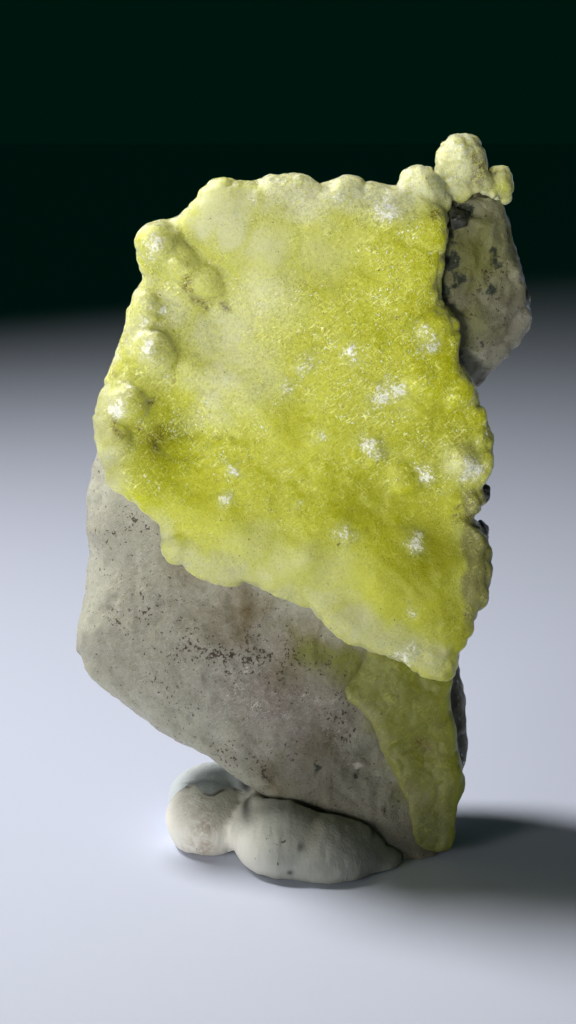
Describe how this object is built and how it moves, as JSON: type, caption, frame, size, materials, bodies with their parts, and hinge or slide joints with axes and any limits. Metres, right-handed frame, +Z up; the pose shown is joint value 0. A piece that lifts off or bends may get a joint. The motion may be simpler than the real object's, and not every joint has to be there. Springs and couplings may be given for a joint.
{
  "type": "brucite crust on matrix specimen",
  "caption": "Upright slab of pale speckled rock with a lumpy yellow mineral crust over its front, standing on a kneaded wad of putty.",
  "frame": {"origin": "on the ground, under the middle of the bounding box", "axes": "+Z up, -Y out of the crusted front, +X to the right of someone who faces the crust"},
  "size_m": [0.049, 0.0278, 0.0748],
  "materials": {
    "matrix": "pale grey, waxy, translucent, with brown and black specks",
    "brucite": "lemon yellow, waxy to glassy, translucent, with pale rims",
    "brucite_thin": "olive yellow, waxy, translucent",
    "serpentine": "dark green, greasy lustre",
    "putty": "matte grey white, kneaded, faintly stained"
  },
  "bodies": {
    "root": {"matrix_rock": "matrix", "brucite_crust": "brucite", "brucite_lower_crust": "brucite_thin", "serpentine_grain_upper": "serpentine", "serpentine_grain_lower": "serpentine", "serpentine_grain_crest": "serpentine", "putty_wad": "putty"}
  },
  "joints": []
}
